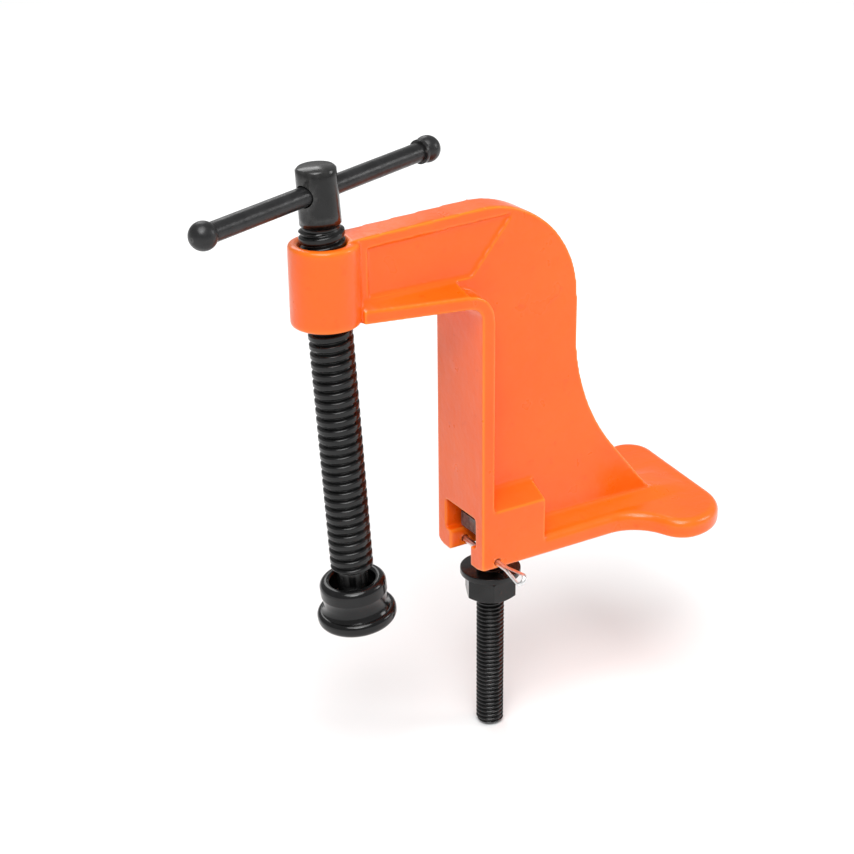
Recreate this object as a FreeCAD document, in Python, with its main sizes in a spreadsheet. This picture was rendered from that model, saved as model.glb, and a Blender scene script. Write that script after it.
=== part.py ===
import FreeCAD, Part
import math
import os
import re
import Sketcher
from FreeCAD import Placement, Rotation, Vector

# Hold-down bench clamp, millimetres. X runs from the clamp screw to the heel, Z is up, and the
# casting's mid-plane is Y = 0, with only the heel's two corners unlike. The origin is where the
# holding bolt's axis meets the bench plane under the casting. The clamp screw leans in the XZ
# plane, its top away from the spine. Near is towards -Y and far towards +Y.

DIMENSIONS = {
    # casting: widths and thicknesses
    "half_width": 14.1,
    "web_half": 5.5,
    "front_setback": 12.0,
    "plate_depth": 4.5,
    "base_height": 7.0,
    "base_top_round": 2.8,
    "base_foot_round": 1.6,
    # casting: side outline
    "throat_height": 92.8,
    "throat_round": 4.5,
    "arm_top_front": 118.6,
    "arm_top_rear": 121.5,
    "crown_radius": 35.5,
    "crown_height": 86.0,
    "spine_back": 29.5,
    "flare_start": 75.4,
    "flare_radius": 73.0,
    "flare_angle": 39.0,
    "toe_round": 14.0,
    # casting: boss and arm
    "boss_radius": 10.8,
    "boss_top": 118.4,
    "boss_round": 1.2,
    "boss_shift": 0.75,
    "arm_flange_edge": 4.1,
    "arm_flange_crest": 6.9,
    "arm_flange_narrow": 8.0,
    "arm_flange_start": 50.0,
    "recess_depth": 0.9,
    "recess_front": 47.3,
    "recess_floor": 7.2,
    "recess_cover": 3.4,
    "recess_lean": 11.0,
    "recess_run": 15.0,
    "recess_rise": 0.6,
    # casting: block, T-slot and base
    "block_rear": 12.5,
    "block_shoulder": 21.0,
    "block_crest": 25.5,
    "leg_round": 3.0,
    "slot_half": 6.1,
    "slot_rear": 6.6,
    "window_half": 9.2,
    "window_floor": 7.0,
    "window_top": 17.8,
    "window_rear": 9.5,
    "rib_crest": 10.2,
    "rib_crest_rear": 8.9,
    "rib_end": 64.0,
    "rib_tip": 77.0,
    "rib_tip_rise": 0.1,
    # casting: heel
    "neck_end": 40.0,
    "neck_round": 15.0,
    "heel_end": 83.3,
    "heel_turn": 6.0,
    "near_reach": 31.2,
    "near_shoulder": 10.0,
    "near_round": 18.0,
    "far_reach": 34.0,
    "far_round": 9.0,
    # cotter pin and its hole
    "cotter_setback": 6.05,
    "cotter_height": 2.5,
    "cotter_hole_radius": 1.3,
    "cotter_radius": 0.95,
    "cotter_near": 20.4,
    "cotter_far": 19.0,
    "cotter_eye_half": 1.7,
    "cotter_eye_length": 8.8,
    "cotter_eye_tilt": -52.0,
    "cotter_wire_radius": 0.59,
    "cotter_prong_offset": 0.35,
    "cotter_eye_root": 1.6,
    # clamp screw
    "screw_throw": 58.27,
    "screw_datum": 100.0,
    "screw_lean": 3.36,
    "screw_radius": 6.93,
    "screw_bore_radius": 7.0,
    "screw_mouth_radius": 7.5,
    "screw_mouth_depth": 1.0,
    "head_top": 41.6,
    "head_radius": 6.1,
    "head_foot": 24.5,
    "head_foot_radius": 6.3,
    "head_chamfer": 0.7,
    "relief_radius": 5.7,
    "relief_length": 1.4,
    "thread_end": 91.0,
    "thread_chamfer": 1.4,
    "neck_radius": 5.0,
    "nose_angle": 20.0,
    "ring_level": 103.2,
    "ring_seat_radius": 3.6,
    "ring_seat_half": 0.75,
    # handle bar
    "bar_height": 34.0,
    "bar_turn": 17.57,
    "bar_radius": 3.0,
    "bar_hole_radius": 3.4,
    "ball_radius": 4.25,
    "bar_left": 44.6,
    "bar_right": 47.95,
    "collar_radius": 3.85,
    "collar_depth": 2.0,
    "collar_gap": 1.9,
    "collar_bevel": 0.6,
    "collar_bevel_length": 0.8,
    "spigot_radius": 2.2,
    "spigot_length": 4.0,
    # retaining ring and swivel pad
    "ring_half": 0.6,
    "ring_inner_radius": 3.9,
    "ring_outer_radius": 7.8,
    "ring_gap": 5.0,
    "pad_lean": 3.0,
    "pad_rim_height": 7.4,
    "pad_rim_radius": 10.85,
    "pad_rim_foot": 2.4,
    "pad_lip_round": 1.35,
    "pad_mouth_radius": 7.3,
    "pad_waist_radius": 10.35,
    "pad_waist_depth": 0.6,
    "pad_flare_radius": 4.0,
    "pad_flank_radius": 9.0,
    "pad_base_radius": 12.95,
    "pad_base_depth": 8.3,
    "pad_base_edge": 2.2,
    "pad_base_top": 5.2,
    "pad_base_top_edge": 1.6,
    "pad_groove_radius": 8.5,
    "pad_groove_half": 1.5,
    "pad_seat_radius": 5.3,
    # holding bolt, washer and nut
    "bolt_radius": 4.7625,
    "bolt_end": 67.5,
    "bolt_chamfer": 0.8,
    "bolt_head_across": 14.3,
    "bolt_head_height": 6.0,
    "washer_radius": 10.3,
    "washer_hole_radius": 5.15,
    "washer_top": 6.8,
    "washer_thickness": 2.1,
    "nut_across": 16.0,
    "nut_height": 8.3,
    "nut_bore_radius": 4.85,
    "nut_face_radius": 7.6,
    "nut_chamfer_slope": 30.0,
    "nut_turn": 54.5,
    # how far a cutter stands clear of what it cuts, and how far joined solids run into each other
    "cut_margin": 1.0,
    "join_overlap": 0.5,
}
TINY = 1e-6

doc = FreeCAD.newDocument("BenchClamp")
sheet = doc.addObject("Spreadsheet::Sheet", "Dimensions")
for row, (alias, size) in enumerate(DIMENSIONS.items(), start=1):
    sheet.set(f"A{row}", alias)
    sheet.set(f"B{row}", str(size))
    sheet.setAlias(f"B{row}", alias)
doc.recompute()


def qualified(formula):
    """A formula in bare dimension names, rewritten to read them from the sheet."""
    return re.sub(r"[a-z_]+", lambda m: f"Dimensions.{m[0]}" if m[0] in DIMENSIONS else m[0], formula)


def value(formula):
    """The number that a formula gives now."""
    result = sheet.evalExpression(qualified(formula))
    return float(getattr(result, "Value", result))


def bind(obj, prop, formula):
    """Tie a property to the sheet."""
    obj.setExpression(prop, qualified(formula))


def origin_plane(body, role):
    return next(f for f in body.Origin.OriginFeatures if f.Role == role)


def new_body(name):
    body = doc.addObject("PartDesign::Body", name)
    body.Label = name
    return body


def arc_between(start, end, radius):
    """The minor arc from start to end; a positive radius turns left on the way, a negative right."""
    chord = end - start
    rise = math.sqrt(max(radius * radius - chord.Length * chord.Length / 4, 0.0))
    left = Vector(-chord.y, chord.x, 0).normalize()
    centre = (start + end) / 2 + left * math.copysign(rise, radius)
    first, last = (start, end) if radius > 0 else (end, start)
    angles = [math.atan2(point.y - centre.y, point.x - centre.x) for point in (first, last)]
    return Part.ArcOfCircle(Part.Circle(centre, Vector(0, 0, 1), abs(radius)), *angles)


def outline(body, name, role, corners, offset="0"):
    """A closed sketch whose corners are formulas (x, y) or (x, y, radius).

    A corner with a radius is reached by an arc from the corner before it, and any other by a line.
    """
    sketch = body.newObject("Sketcher::SketchObject", name)
    sketch.AttachmentSupport = [(origin_plane(body, role), "")]
    sketch.MapMode = "FlatFace"
    bind(sketch, ".AttachmentOffset.Base.z", offset)
    points = [Vector(value(corner[0]), value(corner[1]), 0) for corner in corners]
    for index, corner in enumerate(corners):
        before = points[index - 1]
        here = points[index]
        if len(corner) == 3:
            sketch.addGeometry(arc_between(before, here, value(corner[2])), False)
        else:
            sketch.addGeometry(Part.LineSegment(before, here), False)
    ends = [1 if len(corner) == 3 and value(corner[2]) < 0 else 2 for corner in corners]
    for index, corner in enumerate(corners):
        following = (index + 1) % len(corners)
        start_of_next = 3 - ends[following]
        sketch.addConstraint(Sketcher.Constraint("Coincident", index, ends[index], following, start_of_next))
        for kind, formula in (("DistanceX", corner[0]), ("DistanceY", corner[1])):
            fix_point(sketch, kind, index, ends[index], formula)
        if len(corner) == 3:
            number = sketch.addConstraint(Sketcher.Constraint("Radius", index, abs(value(corner[2]))))
            bind(sketch, f"Constraints[{number}]", f"abs({corner[2]})")
    return sketch


def fix_point(sketch, kind, geometry, end, formula):
    """Hold one coordinate of a sketch point at a formula's value."""
    size = value(formula)
    if abs(size) < TINY:
        axis = -2 if kind == "DistanceX" else -1
        sketch.addConstraint(Sketcher.Constraint("PointOnObject", geometry, end, axis))
        return
    number = sketch.addConstraint(Sketcher.Constraint(kind, -1, 1, geometry, end, size))
    bind(sketch, f"Constraints[{number}]", formula)


def pad(body, sketch, length, symmetric=False):
    feature = body.newObject("PartDesign::Pad", sketch.Name + "Pad")
    feature.Profile = sketch
    feature.SideType = "Symmetric" if symmetric else "One side"
    bind(feature, "Length", length)
    doc.recompute()
    return feature


def pocket(body, sketch, length, backwards=False):
    """Cut length deep, against the sketch's normal or, if backwards, along it."""
    before = body.Shape.Volume
    feature = body.newObject("PartDesign::Pocket", sketch.Name + "Pocket")
    feature.Profile = sketch
    feature.Reversed = backwards
    bind(feature, "Length", length)
    doc.recompute()
    if body.Shape.Volume >= before - TINY:
        raise RuntimeError(feature.Name + " cuts nothing")
    return feature


def turned(body, name, corners):
    """A solid of revolution about the body's Z axis from an outline in its XZ plane."""
    sketch = outline(body, name, "XZ_Plane", corners)
    feature = body.newObject("PartDesign::Revolution", name + "Turned")
    feature.Profile = sketch
    feature.ReferenceAxis = (sketch, ["V_Axis"])
    feature.Angle = 360.0
    doc.recompute()
    return feature


def drill(body, name, radius, length, placement):
    """Cut a cylinder that starts at the placement and runs along its Z axis."""
    before = body.Shape.Volume
    feature = body.newObject("PartDesign::SubtractiveCylinder", name)
    bind(feature, "Radius", radius)
    bind(feature, "Height", length)
    feature.Placement = placement
    doc.recompute()
    if body.Shape.Volume >= before - TINY:
        raise RuntimeError(name + " cuts nothing")
    return feature


def round_edges(body, feature, edges, radius):
    """Fillet the named edges of a feature."""
    fillet = body.newObject("PartDesign::Fillet", feature.Name + "Round")
    fillet.Base = (feature, edges)
    bind(fillet, "Radius", radius)
    doc.recompute()
    return fillet


def level_edges(feature, height):
    """Names of the edges that lie wholly at one height."""
    names = []
    for index, edge in enumerate(feature.Shape.Edges, start=1):
        box = edge.BoundBox
        if abs(box.ZMin - height) < TINY and abs(box.ZMax - height) < TINY:
            names.append(f"Edge{index}")
    return names


def mirrored(corners):
    """Corners of a left-right symmetric outline from its right half, listed bottom to top."""
    left = []
    for corner in reversed(corners):
        left.append(("-(" + corner[0] + ")",) + corner[1:2])
    return corners + left


# The clamp screw's axis, its frame, and the frames of what it carries. All lean together.
SCREW_LEAN = Rotation(Vector(0, 1, 0), -value("screw_lean"))
SCREW_BASE = Vector(-value("screw_throw"), 0, value("screw_datum"))
SCREW_FRAME = Placement(SCREW_BASE, SCREW_LEAN)
BAR_FRAME = SCREW_FRAME * Placement(
    Vector(0, 0, value("bar_height")), Rotation(Vector(0, 0, 1), value("bar_turn")))
RING_FRAME = SCREW_FRAME * Placement(Vector(0, 0, -value("ring_level")), Rotation())
PAD_FRAME = RING_FRAME * Placement(Vector(), Rotation(Vector(0, 1, 0), -value("pad_lean")))


def neck_turn(centre_x, centre_y, radius):
    """How far the neck turns before a straight run meets a corner of the heel, both tangent."""
    run = f"({centre_x} - neck_end)"
    rise = f"(half_width + neck_round - {centre_y})"
    return f"(asin((neck_round + {radius}) / sqrt({run} ^ 2 + {rise} ^ 2)) - atan({rise} / {run}))"


def heel_corners():
    """Plan of the base flange and heel: along the near side, round the end, back on the far side.

    The end edge leans by heel_turn, so the far corner stands out further than the near one.
    """
    near_x = "(heel_end + (near_round - near_reach) * tan(heel_turn) - near_round / cos(heel_turn))"
    near_y = "(near_reach - near_shoulder)"
    near_turn = neck_turn(near_x, near_y, "near_shoulder")
    far_x = "(heel_end + (far_reach - far_round) * tan(heel_turn) - far_round / cos(heel_turn))"
    far_y = "(far_reach - far_round)"
    far_turn = neck_turn(far_x, far_y, "far_round")
    return [
        ("-front_setback", "-half_width"),
        ("neck_end", "-half_width"),
        (f"neck_end + neck_round * sin{near_turn}",
         f"neck_round * cos{near_turn} - half_width - neck_round", "-neck_round"),
        (f"{near_x} - near_shoulder * sin{near_turn}",
         f"-{near_y} - near_shoulder * cos{near_turn}"),
        (near_x, "-near_reach", "near_shoulder"),
        (f"{near_x} + near_round * cos(heel_turn)",
         "near_round - near_reach - near_round * sin(heel_turn)", "near_round"),
        (f"{far_x} + far_round * cos(heel_turn)", f"{far_y} - far_round * sin(heel_turn)"),
        (far_x, "far_reach", "far_round"),
        (f"{far_x} - far_round * sin{far_turn}", f"{far_y} + far_round * cos{far_turn}",
         "far_round"),
        (f"neck_end + neck_round * sin{far_turn}",
         f"half_width + neck_round - neck_round * cos{far_turn}"),
        ("neck_end", "half_width", "-neck_round"),
        ("-front_setback", "half_width"),
    ]


def side_corners():
    """Side outline of the web: base, toe, flare, spine, crown, arm and throat."""
    flare_x = "spine_back + flare_radius * (1 - cos(flare_angle))"
    flare_z = "flare_start - flare_radius * sin(flare_angle)"
    meet_x = f"{flare_x} + ({flare_z} - base_height) * tan(flare_angle)"
    tangent = "toe_round * tan(45 - flare_angle / 2)"
    return [
        ("-front_setback", "0"),
        (f"{meet_x} + {tangent}", "0"),
        (f"{meet_x} + {tangent}", "base_height"),
        (f"{meet_x} - {tangent} * sin(flare_angle)", f"base_height + {tangent} * cos(flare_angle)",
         "-toe_round"),
        (flare_x, flare_z),
        ("spine_back", "flare_start", "-flare_radius"),
        ("spine_back", "crown_height"),
        ("spine_back - crown_radius", "arm_top_rear", "crown_radius"),
        ("-screw_throw - boss_shift", "arm_top_front"),
        ("-screw_throw - boss_shift", "throat_height"),
        ("-front_setback - throat_round", "throat_height"),
        ("-front_setback", "throat_height - throat_round", "-throat_round"),
    ]


def clamp_frame():
    """The casting: base and heel, spine web, front plate, arm, boss and T-slot block."""
    body = new_body("clamp_frame")
    base = pad(body, outline(body, "BasePlan", "XY_Plane", heel_corners()), "base_height")
    base = round_edges(body, base, level_edges(base, value("base_height")), "base_top_round")
    round_edges(body, base, level_edges(base, 0.0), "base_foot_round")
    pad(body, outline(body, "WebSide", "XZ_Plane", side_corners()), "2 * web_half", symmetric=True)
    front_plate(body)
    arm_flange(body)
    t_slot_block(body)
    base_rib(body)
    boss(body)
    arm_recesses(body)
    t_slot(body)
    far_side = Vector(-value("cotter_setback"), value("half_width + cut_margin"), value("cotter_height"))
    drill(body, "CotterHole", "cotter_hole_radius", "2 * (half_width + cut_margin)",
          Placement(far_side, Rotation(Vector(1, 0, 0), 90)))
    screw_bore(body)
    return body


def front_plate(body):
    """The wide plate down the spine's front, bending over into the arm's lower flange."""
    outer = "(plate_depth + throat_round)"
    side = outline(body, "PlateSide", "XZ_Plane", [
        ("-front_setback", "leg_round"),
        ("plate_depth - front_setback", "leg_round"),
        ("plate_depth - front_setback", f"throat_height + arm_flange_edge - {outer}"),
        ("-front_setback - throat_round", "throat_height + arm_flange_edge", outer),
        ("-front_setback - throat_round", "throat_height"),
        ("-front_setback", "throat_height - throat_round", "-throat_round"),
    ])
    pad(body, side, "2 * half_width", symmetric=True)


def flange_section(body, name, half, offset):
    """Cross-section of the arm's lower flange: flat under, sloping up to the web."""
    right = [
        (half, "throat_height"),
        (half, "throat_height + arm_flange_edge"),
        ("web_half - join_overlap", "throat_height + arm_flange_crest"),
    ]
    return outline(body, name, "YZ_Plane", mirrored(right), offset)


def loft(body, first, *others):
    feature = body.newObject("PartDesign::AdditiveLoft", first.Name + "Loft")
    feature.Profile = first
    feature.Sections = list(others)
    feature.Ruled = True
    doc.recompute()
    return feature


def arm_flange(body):
    """The arm's lower flange, widening from the boss to the plate."""
    tip = flange_section(body, "FlangeTip", "arm_flange_narrow", "-arm_flange_start")
    root = flange_section(body, "FlangeRoot", "half_width", "-front_setback - throat_round")
    loft(body, tip, root)


def t_slot_block(body):
    """The block around the T-slot, with shoulders that slope up to the web."""
    right = [
        ("half_width - leg_round", "0"),
        ("half_width", "leg_round", "leg_round"),
        ("half_width", "block_shoulder"),
        ("web_half", "block_crest"),
    ]
    left = [
        ("-web_half", "block_crest"),
        ("-half_width", "block_shoulder"),
        ("-half_width", "leg_round"),
        ("leg_round - half_width", "0", "leg_round"),
    ]
    section = outline(body, "BlockSection", "YZ_Plane", right + left, "-front_setback")
    pad(body, section, "front_setback + block_rear")


def base_rib(body):
    """The base flange's top, sloping up to the web and fading out towards the heel."""
    def section(name, crest, offset):
        right = [
            ("half_width - base_top_round", "base_height - join_overlap"),
            ("half_width - base_top_round", "base_height"),
            ("web_half", crest),
        ]
        return outline(body, name, "YZ_Plane", mirrored(right), offset)
    loft(body, section("RibFront", "rib_crest", "block_rear - join_overlap"),
         section("RibRear", "rib_crest_rear", "rib_end"),
         section("RibTip", "base_height + rib_tip_rise", "rib_tip"))


def boss(body):
    """The round boss that carries the clamp screw."""
    right = [
        ("0", "throat_height"),
        ("boss_radius - boss_round", "throat_height"),
        ("boss_radius", "throat_height + boss_round", "boss_round"),
        ("boss_radius", "boss_top - boss_round"),
        ("boss_radius - boss_round", "boss_top", "boss_round"),
        ("0", "boss_top"),
    ]
    sketch = outline(body, "BossSide", "XZ_Plane", right)
    bind(sketch, ".AttachmentOffset.Base.x", "-screw_throw - boss_shift")
    feature = body.newObject("PartDesign::Revolution", "BossTurned")
    feature.Profile = sketch
    feature.ReferenceAxis = (sketch, ["V_Axis"])
    feature.Angle = 360.0
    doc.recompute()


def arm_recesses(body):
    """The shallow panel sunk in each side of the arm, its rear border leaning with the crown."""
    corners = [
        ("-recess_front", "throat_height + recess_floor"),
        ("-recess_lean", "throat_height + recess_floor"),
        ("recess_run - recess_lean", "arm_top_rear - recess_cover"),
        ("-recess_front", "arm_top_front + recess_rise - recess_cover"),
    ]
    near = outline(body, "RecessNear", "XZ_Plane", corners, "web_half")
    pocket(body, near, "recess_depth")
    far = outline(body, "RecessFar", "XZ_Plane", corners, "-web_half")
    pocket(body, far, "recess_depth", backwards=True)


def t_slot(body):
    """The open-fronted T-slot: a wide window for the bolt's head over a narrow slot for its shank."""
    window = outline(body, "Window", "YZ_Plane", mirrored([
        ("window_half", "window_floor"),
        ("window_half", "window_top"),
    ]), "-front_setback")
    pocket(body, window, "front_setback + window_rear", backwards=True)
    slot = outline(body, "ShankSlot", "YZ_Plane", mirrored([
        ("slot_half", "-cut_margin"),
        ("slot_half", "window_floor + cut_margin"),
    ]), "-front_setback")
    pocket(body, slot, "front_setback + slot_rear", backwards=True)


def screw_bore(body):
    """The leaning bore through the boss, and the wider mouth at its top."""
    low = Vector(0, 0, value("throat_height - screw_datum - cut_margin"))
    drill(body, "ScrewBore", "screw_bore_radius", "boss_top - throat_height + 2 * cut_margin",
          SCREW_FRAME * Placement(low, Rotation()))
    step = Vector(0, 0, value("boss_top - screw_datum - screw_mouth_depth"))
    drill(body, "ScrewMouth", "screw_mouth_radius", "screw_mouth_depth + cut_margin",
          SCREW_FRAME * Placement(step, Rotation()))


def clamp_screw():
    """Head with its cross hole, threaded shank as a plain cylinder, neck, ring seat and ball nose."""
    body = new_body("clamp_screw")
    seat = "ring_level"
    turned(body, "ScrewSide", [
        ("0", f"-{seat} - neck_radius"),
        ("neck_radius * cos(nose_angle)", f"-{seat} - neck_radius * sin(nose_angle)", "neck_radius"),
        ("ring_seat_radius", f"-{seat} - ring_seat_half"),
        ("ring_seat_radius", f"-{seat} + ring_seat_half"),
        ("neck_radius", f"-{seat} + ring_seat_half"),
        ("neck_radius", "-thread_end - thread_chamfer"),
        ("screw_radius", "-thread_end"),
        ("screw_radius", "head_foot - relief_length - thread_chamfer"),
        ("relief_radius", "head_foot - relief_length"),
        ("relief_radius", "head_foot"),
        ("head_foot_radius", "head_foot"),
        ("head_radius", "head_top - head_chamfer"),
        ("head_radius - head_chamfer", "head_top"),
        ("0", "head_top"),
    ])
    across = Rotation(Vector(0, 0, 1), value("bar_turn")) * Rotation(Vector(0, 1, 0), 90)
    half = value("head_foot_radius + cut_margin")
    start = Vector(0, 0, value("bar_height")) - across.multVec(Vector(0, 0, half))
    drill(body, "BarHole", "bar_hole_radius", "2 * (head_foot_radius + cut_margin)",
          Placement(start, across))
    body.Placement = SCREW_FRAME
    return body


def handle_bar():
    """The sliding bar, turned about its own axis: forged ball at one end, spigot at the other."""
    body = new_body("handle_bar")
    end = "bar_right - collar_gap - collar_depth"
    ball = "sqrt(ball_radius ^ 2 - bar_radius ^ 2)"
    turned(body, "BarSide", [
        ("0", "-bar_left - ball_radius"),
        ("ball_radius", "-bar_left", "ball_radius"),
        ("bar_radius", f"-bar_left + {ball}", "ball_radius"),
        ("bar_radius", end),
        ("spigot_radius", end),
        ("spigot_radius", f"{end} + spigot_length"),
        ("0", f"{end} + spigot_length"),
    ])
    body.Placement = BAR_FRAME * Placement(Vector(), Rotation(Vector(0, 1, 0), 90))
    return body


def bar_end_ball():
    """The ball fitted after the bar is through the head: a collar, a ball and a blind socket."""
    body = new_body("bar_end_ball")
    start = "bar_right - collar_gap - collar_depth"
    joint = "sqrt(ball_radius ^ 2 - (collar_radius - collar_bevel) ^ 2)"
    turned(body, "BallSide", [
        ("spigot_radius", start),
        ("collar_radius", start),
        ("collar_radius", f"{start} + collar_depth - collar_bevel_length"),
        ("collar_radius - collar_bevel", f"bar_right - {joint}"),
        ("ball_radius", "bar_right", "ball_radius"),
        ("0", "bar_right + ball_radius", "ball_radius"),
        ("0", f"{start} + spigot_length"),
        ("spigot_radius", f"{start} + spigot_length"),
    ])
    body.Placement = BAR_FRAME * Placement(Vector(), Rotation(Vector(0, 1, 0), 90))
    return body


def pad_retaining_ring():
    """The open spring ring in the screw's seat, which keeps the pad on."""
    body = new_body("pad_retaining_ring")
    turned(body, "RingSide", [
        ("ring_inner_radius", "-ring_half"),
        ("ring_outer_radius", "-ring_half"),
        ("ring_outer_radius", "ring_half"),
        ("ring_inner_radius", "ring_half"),
    ])
    gap = outline(body, "RingGap", "XY_Plane", [
        ("0", "-ring_gap / 2"),
        ("ring_outer_radius + cut_margin", "-ring_gap / 2"),
        ("ring_outer_radius + cut_margin", "ring_gap / 2"),
        ("0", "ring_gap / 2"),
    ], "ring_half")
    pocket(body, gap, "2 * ring_half")
    body.Placement = RING_FRAME
    return body


def swivel_pad():
    """The bell-shaped pad: round-shouldered rim, waist, flared base, ring groove, spherical seat."""
    body = new_body("swivel_pad")
    shoulder = "(pad_rim_radius - pad_mouth_radius - pad_lip_round)"
    seat = "sqrt(pad_seat_radius ^ 2 - pad_groove_half ^ 2)"
    turned(body, "PadSide", [
        ("0", "-pad_base_depth"),
        ("pad_base_radius - pad_base_edge", "-pad_base_depth"),
        ("pad_base_radius", "pad_base_edge - pad_base_depth", "pad_base_edge"),
        ("pad_base_radius", "-pad_base_top"),
        ("pad_base_radius - pad_base_top_edge", "pad_base_top_edge - pad_base_top", "pad_base_top_edge"),
        ("pad_waist_radius", "-pad_waist_depth", "-pad_flare_radius"),
        ("pad_rim_radius", "pad_rim_foot", "-pad_flank_radius"),
        ("pad_rim_radius", f"pad_rim_height - {shoulder}"),
        (f"pad_rim_radius - {shoulder}", "pad_rim_height", shoulder),
        ("pad_mouth_radius", "pad_rim_height - pad_lip_round", "pad_lip_round"),
        ("pad_mouth_radius", "pad_groove_half"),
        ("pad_groove_radius", "pad_groove_half"),
        ("pad_groove_radius", "-pad_groove_half"),
        (seat, "-pad_groove_half"),
        ("0", "-pad_seat_radius", "-pad_seat_radius"),
    ])
    body.Placement = PAD_FRAME
    return body


def holding_bolt():
    """Square-headed bolt; its threaded shank is a plain cylinder of the thread's outer radius."""
    body = new_body("holding_bolt")
    half = "bolt_head_across / 2"
    head = outline(body, "HeadPlan", "XY_Plane", [
        (f"-{half}", f"-{half}"), (half, f"-{half}"), (half, half), (f"-{half}", half),
    ], "window_floor")
    pad(body, head, "bolt_head_height")
    turned(body, "ShankSide", [
        ("0", "-bolt_end"),
        ("bolt_radius - bolt_chamfer", "-bolt_end"),
        ("bolt_radius", "bolt_chamfer - bolt_end"),
        ("bolt_radius", "window_floor + join_overlap"),
        ("0", "window_floor + join_overlap"),
    ])
    return body


def bolt_washer():
    body = new_body("bolt_washer")
    turned(body, "WasherSide", [
        ("washer_hole_radius", "-washer_top - washer_thickness"),
        ("washer_radius", "-washer_top - washer_thickness"),
        ("washer_radius", "-washer_top"),
        ("washer_hole_radius", "-washer_top"),
    ])
    return body


def hex_nut():
    """Hexagon nut: a six-sided prism with its corners turned off at both ends, and a plain bore."""
    nut = doc.addObject("Part::Prism", "NutPrism")
    nut.Polygon = 6
    corner = "nut_across / 2 / cos(30)"
    bind(nut, "Circumradius", corner)
    bind(nut, "Height", "nut_height")
    drop = f"({corner} - nut_face_radius) * tan(nut_chamfer_slope)"
    barrel = new_body("NutBarrel")
    turned(barrel, "BarrelSide", [
        ("0", "0"),
        ("nut_face_radius", "0"),
        (corner, drop),
        (corner, f"nut_height - {drop}"),
        ("nut_face_radius", "nut_height"),
        ("0", "nut_height"),
    ])
    rounded = doc.addObject("Part::Common", "NutBlank")
    rounded.Base = nut
    rounded.Tool = barrel
    hole = doc.addObject("Part::Cylinder", "NutBore")
    bind(hole, "Radius", "nut_bore_radius")
    bind(hole, "Height", "nut_height + 2 * cut_margin")
    bind(hole, ".Placement.Base.z", "-cut_margin")
    cut = doc.addObject("Part::Cut", "hex_nut")
    cut.Base = rounded
    cut.Tool = hole
    cut.Label = "hex_nut"
    cut.Placement = Placement(
        Vector(0, 0, -value("washer_top + washer_thickness + nut_height")),
        Rotation(Vector(0, 0, 1), -value("nut_turn")))
    doc.recompute()
    return cut


def tangent_point(start, centre, radius, side):
    """Where a line from start touches a circle; side is 1 or -1 for the two choices."""
    reach = start - centre
    angle = math.atan2(reach.y, reach.x) + side * math.acos(radius / reach.Length)
    return centre + Vector(math.cos(angle), math.sin(angle), 0) * radius


def cotter_pin():
    """Split pin: two prongs as one round shank, and a teardrop eye of thinner wire."""
    radius = value("cotter_radius")
    near = -value("cotter_near")
    far = value("cotter_far")
    half = value("cotter_eye_half")
    bow = Vector(0, near - value("cotter_eye_length") + half, 0)
    spread = Vector(value("cotter_prong_offset"), 0, 0)
    apex = Vector(0, near + value("cotter_eye_root"), 0)
    left = tangent_point(apex - spread, bow, half, 1)
    right = tangent_point(apex + spread, bow, half, -1)
    path = Part.Wire([
        Part.LineSegment(apex - spread, left).toShape(),
        Part.Arc(left, bow - Vector(0, half, 0), right).toShape(),
        Part.LineSegment(right, apex + spread).toShape(),
    ])
    section = Part.Circle(apex - spread, left - apex + spread, value("cotter_wire_radius"))
    eye = path.makePipeShell([Part.Wire([section.toShape()])], True, False)
    shank = Part.makeCylinder(radius, far - near, Vector(0, near, 0), Vector(0, 1, 0))
    tip = Part.makeSphere(radius, Vector(0, far, 0))
    feature = doc.addObject("Part::Feature", "cotter_pin")
    feature.Shape = shank.fuse([tip, eye]).Solids[0]
    feature.Label = "cotter_pin"
    feature.Placement = Placement(
        Vector(-value("cotter_setback"), 0, value("cotter_height")),
        Rotation(Vector(0, 1, 0), value("cotter_eye_tilt")))
    return feature


PIECES = [
    clamp_frame(), clamp_screw(), handle_bar(), bar_end_ball(), pad_retaining_ring(), swivel_pad(),
    holding_bolt(), bolt_washer(), hex_nut(), cotter_pin(),
]
doc.recompute()

for item in doc.Objects:
    if "Invalid" in item.State or "Error" in item.State:
        raise RuntimeError(f"{item.Name} failed: {item.State}")
for piece in PIECES:
    if piece.Shape.isNull() or not piece.Shape.isValid() or len(piece.Shape.Solids) != 1:
        raise RuntimeError(f"{piece.Label} is not one valid solid")

os.makedirs("parts", exist_ok=True)
for piece in PIECES:
    piece.Shape.exportStep(f"parts/{piece.Label}.step")
    print(f"{piece.Label}: {piece.Shape.Volume:.0f} mm3")
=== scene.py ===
import math

import bmesh
import bpy
from mathutils import Matrix, Quaternion, Vector


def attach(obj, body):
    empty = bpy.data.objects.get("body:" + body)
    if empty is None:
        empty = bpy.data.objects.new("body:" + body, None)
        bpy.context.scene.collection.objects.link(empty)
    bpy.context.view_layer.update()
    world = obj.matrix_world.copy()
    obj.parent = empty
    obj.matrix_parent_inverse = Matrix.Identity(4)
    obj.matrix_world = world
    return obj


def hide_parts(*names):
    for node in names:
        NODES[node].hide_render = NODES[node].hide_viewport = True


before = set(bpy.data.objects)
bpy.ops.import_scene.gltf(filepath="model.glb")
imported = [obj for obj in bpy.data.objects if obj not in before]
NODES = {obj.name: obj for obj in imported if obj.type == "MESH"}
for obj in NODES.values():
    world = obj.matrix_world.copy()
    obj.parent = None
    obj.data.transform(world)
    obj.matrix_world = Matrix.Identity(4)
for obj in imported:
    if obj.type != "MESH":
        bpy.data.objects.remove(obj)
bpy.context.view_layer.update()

MM = 0.001

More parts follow.
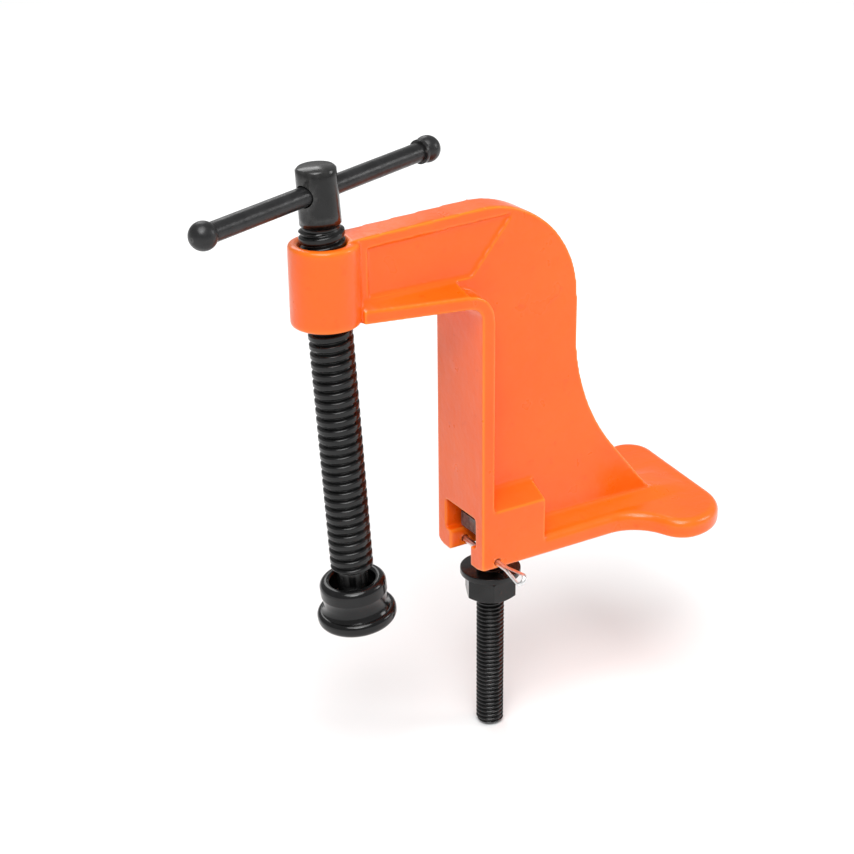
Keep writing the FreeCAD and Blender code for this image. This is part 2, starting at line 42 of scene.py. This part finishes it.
# The clamp screw's frame: its axis leans from the vertical, the top away from the spine.
SCREW_FRAME = (Matrix.Translation(Vector((-58.27, 0, 100)) * MM)
               @ Matrix.Rotation(math.radians(-3.36), 4, "Y"))
BOLT_FRAME = Matrix.Identity(4)

# Foot of the holding bolt's square head, in millimetres: its level, its half width, and how far
# the two edges that lie across the slot are rounded. The rounding is a circular arc in segments.
HEAD_FOOT = 7.0
HEAD_HALF = 7.15
HEAD_ROUND = 1.2
HEAD_ROUND_SEGMENTS = 4
CIRCULAR_PROFILE = 0.5

# Threads, in millimetres along the axis of their frame.
SCREW_THREAD = {
    "low": -92.4, "high": 23.1, "low_radius": 5.0, "high_radius": 5.7,
    "crest": 6.93, "depth": 1.1, "pitch": 3.1, "groove": 0.62, "chamfer": 1.4,
    "segments": 60, "turn_rows": 18,
}
BOLT_THREAD = {
    "low": -67.5, "high": 7.0, "low_radius": 3.9625, "high_radius": 4.76,
    "crest": 4.7625, "depth": 0.8, "pitch": 1.5875, "groove": 0.9, "chamfer": 0.8,
    "segments": 44, "turn_rows": 12,
}

# Cotter pin, in millimetres in its own frame: shank along Y, eye in the XY plane towards -Y.
PIN_FRAME = (Matrix.Translation(Vector((-6.05, 0, 2.5)) * MM)
             @ Matrix.Rotation(math.radians(-52), 4, "Y"))
PIN_RADIUS = 0.95
PRONG_GAP = 0.05
LONG_PRONG_END = 19.8
SHORT_PRONG_END = 17.6
EYE_START = -19.3
EYE_LEAD = 1.0
EYE_CENTRE = -27.5
EYE_RADIUS = 1.34
EYE_STEPS = 28
PIN_SECTION_STEPS = 10

CASTING_VOXEL = 0.5 * MM
CASTING_SMOOTHING = 9
CASTING_RELAX = 0.5
WELD_DISTANCE = 0.002 * MM

# Slack, in millimetres, when CAD faces and edges are picked out by their place, and the cosine to
# the axis from which a face counts as an end face.
PICK_SLACK = 0.02
END_FACE_COSINE = 0.95

# Degrees from which an edge stays crisp under smooth shading, and from which it is eased, and the
# segments of an eased edge.
THREAD_CREASE = 40
PIN_CREASE = 35
EASED_ANGLE = 28
EASED_SEGMENTS = 3

# Width of the eased edges, in millimetres.
EASED_WIDTHS = {
    "bolt_washer": 0.3,
    "hex_nut": 0.2,
    "pad_retaining_ring": 0.15,
    "bar_end_ball": 0.15,
}

# Sockets of a Mix node set to colours: the factor and the two colours in, and the colour out.
MIX_INPUTS = (0, 6, 7)
MIX_RESULT = 2

# Spans of a noise pattern that a ramp spreads over its two ends.
WIDE_SPAN = (0.3, 0.7)
UPPER_SPAN = (0.35, 0.7)
PATCH_SPAN = (0.35, 0.68)
THIN_SPAN = (0.62, 0.75)

# Spans of pointiness over which an edge shows, on the rounded casting, where the edges carry a
# painted highlight, and on the crisper steel.
CASTING_HIGHLIGHT_SPAN = (0.505, 0.54)
STEEL_EDGE_SPAN = (0.54, 0.66)

# Pairs that a pattern runs between: linear colours, a roughness and a grey.
ORANGE = ((0.92, 0.112, 0.0015), (0.97, 0.132, 0.003))
DARKER_ORANGE = ((0.85, 0.096, 0.001), (0.9, 0.106, 0.0015))
# Lighter orange for the painted highlight along the casting's sharp edges.
HIGHLIGHT_ORANGE = ((0.98, 0.2, 0.01), (1.0, 0.24, 0.015))
RUBBED_STEEL = ((0.07, 0.07, 0.068), (0.16, 0.158, 0.155))
ENAMEL_ROUGHNESS = (0.26, 0.36)
FLOOR_GREY = (0.86, 0.89)

# How far patches of black oxide and of wire stray from the roughness of the piece.
OXIDE_ROUGHNESS_SPREAD = 0.07
WIRE_SMOOTHER = 0.06
WIRE_DULLER = 0.12


def new_object(name, mesh):
    obj = bpy.data.objects.new(name, mesh)
    bpy.context.scene.collection.objects.link(obj)
    return obj


def shade(mesh, angle):
    """Smooth shading with edges sharper than the angle left crisp."""
    mesh.polygons.foreach_set("use_smooth", [True] * len(mesh.polygons))
    mesh.set_sharp_from_angle(angle=math.radians(angle))
    mesh.update()


# ---- threads ----

def thread_radius(spec, height, turn):
    """Radius of a right-handed thread at a height and a fraction of a turn.

    The groove takes up its share of the pitch and has a rounded root; the crest between is flat.
    """
    phase = (height / spec["pitch"] - turn) % 1.0
    from_root = min(abs(2 * phase - 1) / spec["groove"], 1.0)
    thread = spec["crest"] - spec["depth"] * (0.5 + 0.5 * math.cos(math.pi * from_root))
    slope = (spec["crest"] - spec["low_radius"]) / spec["chamfer"]
    from_low = spec["low_radius"] + (height - spec["low"]) * slope
    from_high = spec["high_radius"] + (spec["high"] - height) * slope
    return min(thread, from_low, from_high)


def add_thread(mesh, spec, frame_matrix):
    """Add the threaded surface to a bmesh, open at both ends."""
    rows = math.ceil((spec["high"] - spec["low"]) / spec["pitch"] * spec["turn_rows"])
    rings = []
    for row in range(rows + 1):
        height = spec["low"] + (spec["high"] - spec["low"]) * row / rows
        ring = []
        for step in range(spec["segments"]):
            turn = step / spec["segments"]
            radius = thread_radius(spec, height, turn)
            angle = 2 * math.pi * turn
            point = Vector((radius * math.cos(angle), radius * math.sin(angle), height)) * MM
            ring.append(mesh.verts.new(frame_matrix @ point))
        rings.append(ring)
    for lower, upper in zip(rings, rings[1:]):
        for step in range(spec["segments"]):
            after = (step + 1) % spec["segments"]
            mesh.faces.new((lower[step], lower[after], upper[after], upper[step]))


def plain_thread_faces(mesh, spec, frame_matrix):
    """The faces of the plain cylinder and end chamfers that stand for the thread."""
    inverse = frame_matrix.inverted()
    axis = frame_matrix.to_3x3() @ Vector((0, 0, 1))
    least = min(spec["low_radius"], spec["high_radius"]) - PICK_SLACK
    greatest = spec["crest"] + PICK_SLACK
    lowest = spec["low"] - PICK_SLACK
    highest = spec["high"] + PICK_SLACK
    found = []
    for face in mesh.faces:
        local = [(inverse @ vertex.co) / MM for vertex in face.verts]
        in_span = all(lowest <= p.z <= highest for p in local)
        outside = all(math.hypot(p.x, p.y) >= least for p in local)
        within = all(math.hypot(p.x, p.y) <= greatest for p in local)
        sideways = abs(face.normal.dot(axis)) < END_FACE_COSINE
        if in_span and outside and within and sideways:
            found.append(face)
    return found


def round_head_foot(mesh):
    """Round the lower front and rear edges of the bolt's head, which slides up to a cast corner."""
    rim = []
    for edge in mesh.edges:
        ends = [vertex.co / MM for vertex in edge.verts]
        level = all(abs(p.z - HEAD_FOOT) < PICK_SLACK for p in ends)
        across = all(abs(p.x) > HEAD_HALF - PICK_SLACK for p in ends)
        if level and across:
            rim.append(edge)
    bmesh.ops.bevel(
        mesh, geom=rim, offset=HEAD_ROUND * MM, segments=HEAD_ROUND_SEGMENTS,
        profile=CIRCULAR_PROFILE, affect="EDGES")


def threaded(node_name, piece_name, spec, frame_matrix, square_head=False):
    """A copy of a CAD node with its plain thread cylinder replaced by a real thread."""
    mesh = bmesh.new()
    mesh.from_mesh(NODES[node_name].data)
    bmesh.ops.remove_doubles(mesh, verts=mesh.verts, dist=WELD_DISTANCE)
    if square_head:
        round_head_foot(mesh)
    bmesh.ops.delete(mesh, geom=plain_thread_faces(mesh, spec, frame_matrix), context="FACES")
    add_thread(mesh, spec, frame_matrix)
    data = bpy.data.meshes.new(piece_name)
    mesh.to_mesh(data)
    mesh.free()
    shade(data, THREAD_CREASE)
    return new_object(piece_name, data)


# ---- cotter pin ----

def pin_path():
    """Centre line of the folded half-round wire, along the flat side it folds on."""
    start = Vector((-PRONG_GAP, EYE_START, 0))
    reach = start - Vector((0, EYE_CENTRE, 0))
    lead = math.atan2(reach.y, reach.x) + math.acos(EYE_RADIUS / reach.length)
    path = [
        Vector((-PRONG_GAP, LONG_PRONG_END, 0)),
        Vector((-PRONG_GAP, EYE_START + EYE_LEAD, 0)),
        start,
    ]
    sweep = 2 * (3 * math.pi / 2 - lead)
    for step in range(EYE_STEPS + 1):
        angle = lead + sweep * step / EYE_STEPS
        across = EYE_RADIUS * math.cos(angle)
        along = EYE_CENTRE + EYE_RADIUS * math.sin(angle)
        path.append(Vector((across, along, 0)))
    path.append(Vector((PRONG_GAP, EYE_START, 0)))
    path.append(Vector((PRONG_GAP, EYE_START + EYE_LEAD, 0)))
    path.append(Vector((PRONG_GAP, SHORT_PRONG_END, 0)))
    return path


def split_pin():
    """The cotter pin as one half-round wire folded into an eye and two prongs."""
    path = pin_path()
    mesh = bmesh.new()
    rings = []
    for index, point in enumerate(path):
        before = path[max(index - 1, 0)]
        after = path[min(index + 1, len(path) - 1)]
        along = (after - before).normalized()
        outward = Vector((along.y, -along.x, 0))
        ring = []
        for step in range(PIN_SECTION_STEPS + 1):
            angle = math.pi * (step / PIN_SECTION_STEPS - 0.5)
            offset = outward * math.cos(angle) + Vector((0, 0, math.sin(angle)))
            ring.append(mesh.verts.new(PIN_FRAME @ ((point + offset * PIN_RADIUS) * MM)))
        rings.append(ring)
    count = PIN_SECTION_STEPS + 1
    for first, second in zip(rings, rings[1:]):
        for step in range(count):
            following = (step + 1) % count
            mesh.faces.new((first[step], first[following], second[following], second[step]))
    mesh.faces.new(rings[0][::-1])
    mesh.faces.new(rings[-1])
    bmesh.ops.recalc_face_normals(mesh, faces=mesh.faces)
    data = bpy.data.meshes.new("cotter_pin_split")
    mesh.to_mesh(data)
    mesh.free()
    shade(data, PIN_CREASE)
    return new_object("cotter_pin_split", data)


# ---- modifiers ----

def round_cast_edges(obj):
    """Even out the casting's mesh, then relax it so that every edge and corner is cast round."""
    weld = obj.modifiers.new("Weld", "WELD")
    weld.merge_threshold = WELD_DISTANCE
    remesh = obj.modifiers.new("Even", "REMESH")
    remesh.mode = "VOXEL"
    remesh.voxel_size = CASTING_VOXEL
    remesh.use_smooth_shade = True
    relax = obj.modifiers.new("Relax", "SMOOTH")
    relax.factor = CASTING_RELAX
    relax.iterations = CASTING_SMOOTHING


def ease_edges(obj, width):
    """Small rounded edges on a machined piece."""
    weld = obj.modifiers.new("Weld", "WELD")
    weld.merge_threshold = WELD_DISTANCE
    bevel = obj.modifiers.new("Edges", "BEVEL")
    bevel.width = width
    bevel.segments = EASED_SEGMENTS
    bevel.limit_method = "ANGLE"
    bevel.angle_limit = math.radians(EASED_ANGLE)


# ---- materials ----

class Finish:
    """A procedural finish built on one Principled shader, textured in the object's own space."""

    def __init__(self, name):
        self.material = bpy.data.materials.new(name)
        self.material.use_nodes = True
        self.nodes = self.material.node_tree.nodes
        self.links = self.material.node_tree.links
        self.nodes.clear()
        self.shader = self.nodes.new("ShaderNodeBsdfPrincipled")
        output = self.nodes.new("ShaderNodeOutputMaterial")
        self.links.new(self.shader.outputs[0], output.inputs["Surface"])
        self.place = self.nodes.new("ShaderNodeTexCoord").outputs["Object"]

    def fixed(self, **values):
        for socket, amount in values.items():
            self.shader.inputs[socket.replace("_", " ")].default_value = amount

    def noise(self, size_mm, detail=3.0, roughness=0.55, stretch=(1, 1, 1)):
        """A noise pattern whose patches are about size_mm across."""
        mapping = self.nodes.new("ShaderNodeMapping")
        mapping.inputs["Scale"].default_value = [axis / (size_mm * MM) for axis in stretch]
        self.links.new(self.place, mapping.inputs["Vector"])
        pattern = self.nodes.new("ShaderNodeTexNoise")
        pattern.inputs["Scale"].default_value = 1.0
        pattern.inputs["Detail"].default_value = detail
        pattern.inputs["Roughness"].default_value = roughness
        self.links.new(mapping.outputs[0], pattern.inputs["Vector"])
        return pattern.outputs[0]

    def ramp(self, source, span, ends):
        """Map a span of a pattern onto two ends, given as greys or RGB."""
        node = self.nodes.new("ShaderNodeValToRGB")
        for element, position, end in zip(node.color_ramp.elements, span, ends):
            element.position = position
            element.color = (*end, 1) if isinstance(end, tuple) else (end, end, end, 1)
        self.links.new(source, node.inputs[0])
        return node.outputs[0]

    def blend(self, amount, first, second):
        """Mix two colours by a pattern."""
        node = self.nodes.new("ShaderNodeMix")
        node.data_type = "RGBA"
        factor, colour_a, colour_b = (node.inputs[index] for index in MIX_INPUTS)
        self.links.new(amount, factor)
        self.links.new(first, colour_a)
        self.links.new(second, colour_b)
        return node.outputs[MIX_RESULT]

    def colour(self, source):
        self.links.new(source, self.shader.inputs["Base Color"])

    def gloss(self, source):
        self.links.new(source, self.shader.inputs["Roughness"])

    def bump(self, source, depth_mm, under=None):
        """Relief of about depth_mm, on top of another relief if one is given."""
        node = self.nodes.new("ShaderNodeBump")
        node.inputs["Distance"].default_value = depth_mm * MM
        self.links.new(source, node.inputs["Height"])
        if under is not None:
            self.links.new(under, node.inputs["Normal"])
        self.links.new(node.outputs[0], self.shader.inputs["Normal"])
        return node.outputs[0]

    def edges(self, span):
        """A mask that is white where the surface bulges sharply."""
        pointed = self.nodes.new("ShaderNodeNewGeometry").outputs["Pointiness"]
        return self.ramp(pointed, span, (0.0, 1.0))


def enamel():
    """Thick glossy orange enamel over rough cast iron, with a painted highlight of lighter orange
    along its sharp edges.
    """
    finish = Finish("orange_enamel")
    finish.fixed(Metallic=0.0, Coat_Weight=0.2, Coat_Roughness=0.14, Specular_IOR_Level=0.36)
    patches = finish.ramp(finish.noise(38), PATCH_SPAN, ORANGE)
    thin = finish.ramp(finish.noise(4, detail=6), THIN_SPAN, (0.0, 1.0))
    darker = finish.ramp(finish.noise(9), WIDE_SPAN, DARKER_ORANGE)
    body = finish.blend(thin, patches, darker)
    # Lighter orange laid on the casting's sharp edges by their pointiness: a painted highlight.
    painted_highlight = finish.ramp(finish.noise(60), WIDE_SPAN, HIGHLIGHT_ORANGE)
    finish.colour(finish.blend(finish.edges(CASTING_HIGHLIGHT_SPAN), body, painted_highlight))
    finish.gloss(finish.ramp(finish.noise(12), WIDE_SPAN, ENAMEL_ROUGHNESS))
    sand = finish.bump(finish.noise(1.1, detail=4, roughness=0.6), depth_mm=0.045)
    finish.bump(finish.noise(7, detail=2), depth_mm=0.35, under=sand)
    return finish.material


def black_oxide(name, grain_mm, grain_depth_mm, roughness, dark, light):
    """Oiled black oxide on steel, its edges rubbed a little brighter."""
    finish = Finish(name)
    finish.fixed(Metallic=0.2, Specular_IOR_Level=0.45)
    body = finish.ramp(finish.noise(6, detail=5), UPPER_SPAN, (dark, light))
    rubbed = finish.ramp(finish.noise(1.5), WIDE_SPAN, RUBBED_STEEL)
    finish.colour(finish.blend(finish.edges(STEEL_EDGE_SPAN), body, rubbed))
    roughness_ends = (roughness - OXIDE_ROUGHNESS_SPREAD, roughness + OXIDE_ROUGHNESS_SPREAD)
    finish.gloss(finish.ramp(finish.noise(2.5, detail=5), WIDE_SPAN, roughness_ends))
    scale = finish.bump(finish.noise(grain_mm, detail=4, roughness=0.6), grain_depth_mm)
    finish.bump(finish.noise(grain_mm * 4, detail=2), grain_depth_mm * 2, under=scale)
    return finish.material


def bright_steel(name, dark, light, roughness):
    """Plated or plain bright steel wire with fine drawing marks and dull patches."""
    finish = Finish(name)
    finish.fixed(Metallic=1.0)
    finish.colour(finish.ramp(finish.noise(1.6, detail=4), UPPER_SPAN, (dark, light)))
    roughness_ends = (roughness - WIRE_SMOOTHER, roughness + WIRE_DULLER)
    finish.gloss(finish.ramp(finish.noise(0.8, detail=4), WIDE_SPAN, roughness_ends))
    drawn = finish.noise(0.35, detail=3, roughness=0.5, stretch=(1, 0.15, 1))
    finish.bump(drawn, depth_mm=0.012)
    return finish.material


def floor_finish():
    finish = Finish("pale_floor")
    finish.fixed(Roughness=0.85)
    finish.colour(finish.ramp(finish.noise(400), WIDE_SPAN, FLOOR_GREY))
    finish.bump(finish.noise(3), depth_mm=0.02)
    return finish.material


def paint(obj, material):
    obj.data.materials.clear()
    obj.data.materials.append(material)


# ---- build ----

screw = threaded("clamp_screw", "clamp_screw_threaded", SCREW_THREAD, SCREW_FRAME)
bolt = threaded("holding_bolt", "holding_bolt_threaded", BOLT_THREAD, BOLT_FRAME, square_head=True)
pin = split_pin()

machined = black_oxide(
    "black_oxide_machined", grain_mm=0.8, grain_depth_mm=0.012, roughness=0.21,
    dark=(0.004, 0.004, 0.004), light=(0.012, 0.012, 0.012))
forged = black_oxide(
    "black_oxide_forged", grain_mm=1.6, grain_depth_mm=0.06, roughness=0.34,
    dark=(0.01, 0.01, 0.0105), light=(0.022, 0.022, 0.023))
polished = black_oxide(
    "black_oxide_smooth", grain_mm=2.5, grain_depth_mm=0.012, roughness=0.16,
    dark=(0.003, 0.003, 0.0032), light=(0.008, 0.008, 0.0085))
FINISHES = {
    "clamp_frame": enamel(),
    "handle_bar": forged,
    "bar_end_ball": forged,
    "pad_retaining_ring": bright_steel("spring_steel", dark=0.2, light=0.32, roughness=0.34),
    "swivel_pad": polished,
    "bolt_washer": machined,
    "hex_nut": machined,
}
for node_name, material in FINISHES.items():
    paint(NODES[node_name], material)
paint(screw, machined)
paint(bolt, machined)
paint(pin, bright_steel("bright_zinc", dark=0.72, light=0.88, roughness=0.36))

round_cast_edges(NODES["clamp_frame"])
for node_name, width in EASED_WIDTHS.items():
    ease_edges(NODES[node_name], width * MM)

for piece, node_name, body, slot in (
        (screw, "clamp_screw", "screw", "black_oxide"),
        (bolt, "holding_bolt", "bolt", "black_oxide"),
        (pin, "cotter_pin", "cotter", "bright_steel")):
    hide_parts(node_name)
    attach(piece, body)


# ---- floor, light and camera ----

# The floor, the lights and the camera are placed in metres; the lens and sensor are in millimetres.
FLOOR_LEVEL = -0.0682
FLOOR_HALF = 12.0
WORLD_STRENGTH = 0.4
floor_mesh = bpy.data.meshes.new("floor")
floor_corners = [
    (-FLOOR_HALF, -FLOOR_HALF, FLOOR_LEVEL),
    (FLOOR_HALF, -FLOOR_HALF, FLOOR_LEVEL),
    (FLOOR_HALF, FLOOR_HALF, FLOOR_LEVEL),
    (-FLOOR_HALF, FLOOR_HALF, FLOOR_LEVEL),
]
floor_mesh.from_pydata(floor_corners, [], [(0, 1, 2, 3)])
floor = new_object("floor", floor_mesh)
paint(floor, floor_finish())

world = bpy.data.worlds.new("studio")
world.use_nodes = True
background = world.node_tree.nodes["Background"]
background.inputs["Color"].default_value = (1, 1, 1, 1)
background.inputs["Strength"].default_value = WORLD_STRENGTH
bpy.context.scene.world = world
bpy.context.scene.view_settings.view_transform = "Standard"


def soft_light(name, place, target, size, power):
    """A square softbox at place, facing target."""
    lamp = bpy.data.lights.new(name, "AREA")
    lamp.shape = "SQUARE"
    lamp.size = size
    lamp.energy = power
    obj = new_object(name, lamp)
    obj.location = place
    obj.rotation_euler = (Vector(target) - Vector(place)).to_track_quat("-Z", "Y").to_euler()
    return obj


def sky_light(name, direction, angle, strength):
    """A wide, distant overhead light that falls evenly over the whole floor."""
    lamp = bpy.data.lights.new(name, "SUN")
    lamp.angle = math.radians(angle)
    lamp.energy = strength
    obj = new_object(name, lamp)
    obj.rotation_euler = Vector(direction).to_track_quat("-Z", "Y").to_euler()
    return obj


sky_light("overhead", direction=(0.26, 0.34, -0.9), angle=45.0, strength=2.3)
soft_light("key", place=(-0.55, -0.75, 1.05), target=(0, 0, 0.05), size=0.5, power=4.0)
soft_light("side", place=(1.0, -0.5, 0.55), target=(0, 0, 0.03), size=0.35, power=2.5)
soft_light("back", place=(0.2, 1.0, 0.9), target=(0, 0, 0.05), size=0.6, power=3.5)

CAMERA_PLACE = Vector((-0.28386, -0.43997, 0.27859))
CAMERA_TARGET = Vector((-0.02431, 0.0, 0.05045))
CAMERA_ROLL = math.radians(-0.669)
CAMERA_LENS = 73.85
CAMERA_SENSOR = 36.0
camera = new_object("camera", bpy.data.cameras.new("camera"))
camera.data.lens = CAMERA_LENS
camera.data.sensor_width = CAMERA_SENSOR
camera.location = CAMERA_PLACE
aim = (CAMERA_TARGET - CAMERA_PLACE).to_track_quat("-Z", "Y")
camera.rotation_euler = (aim @ Quaternion((0, 0, 1), CAMERA_ROLL)).to_euler()
bpy.context.scene.camera = camera
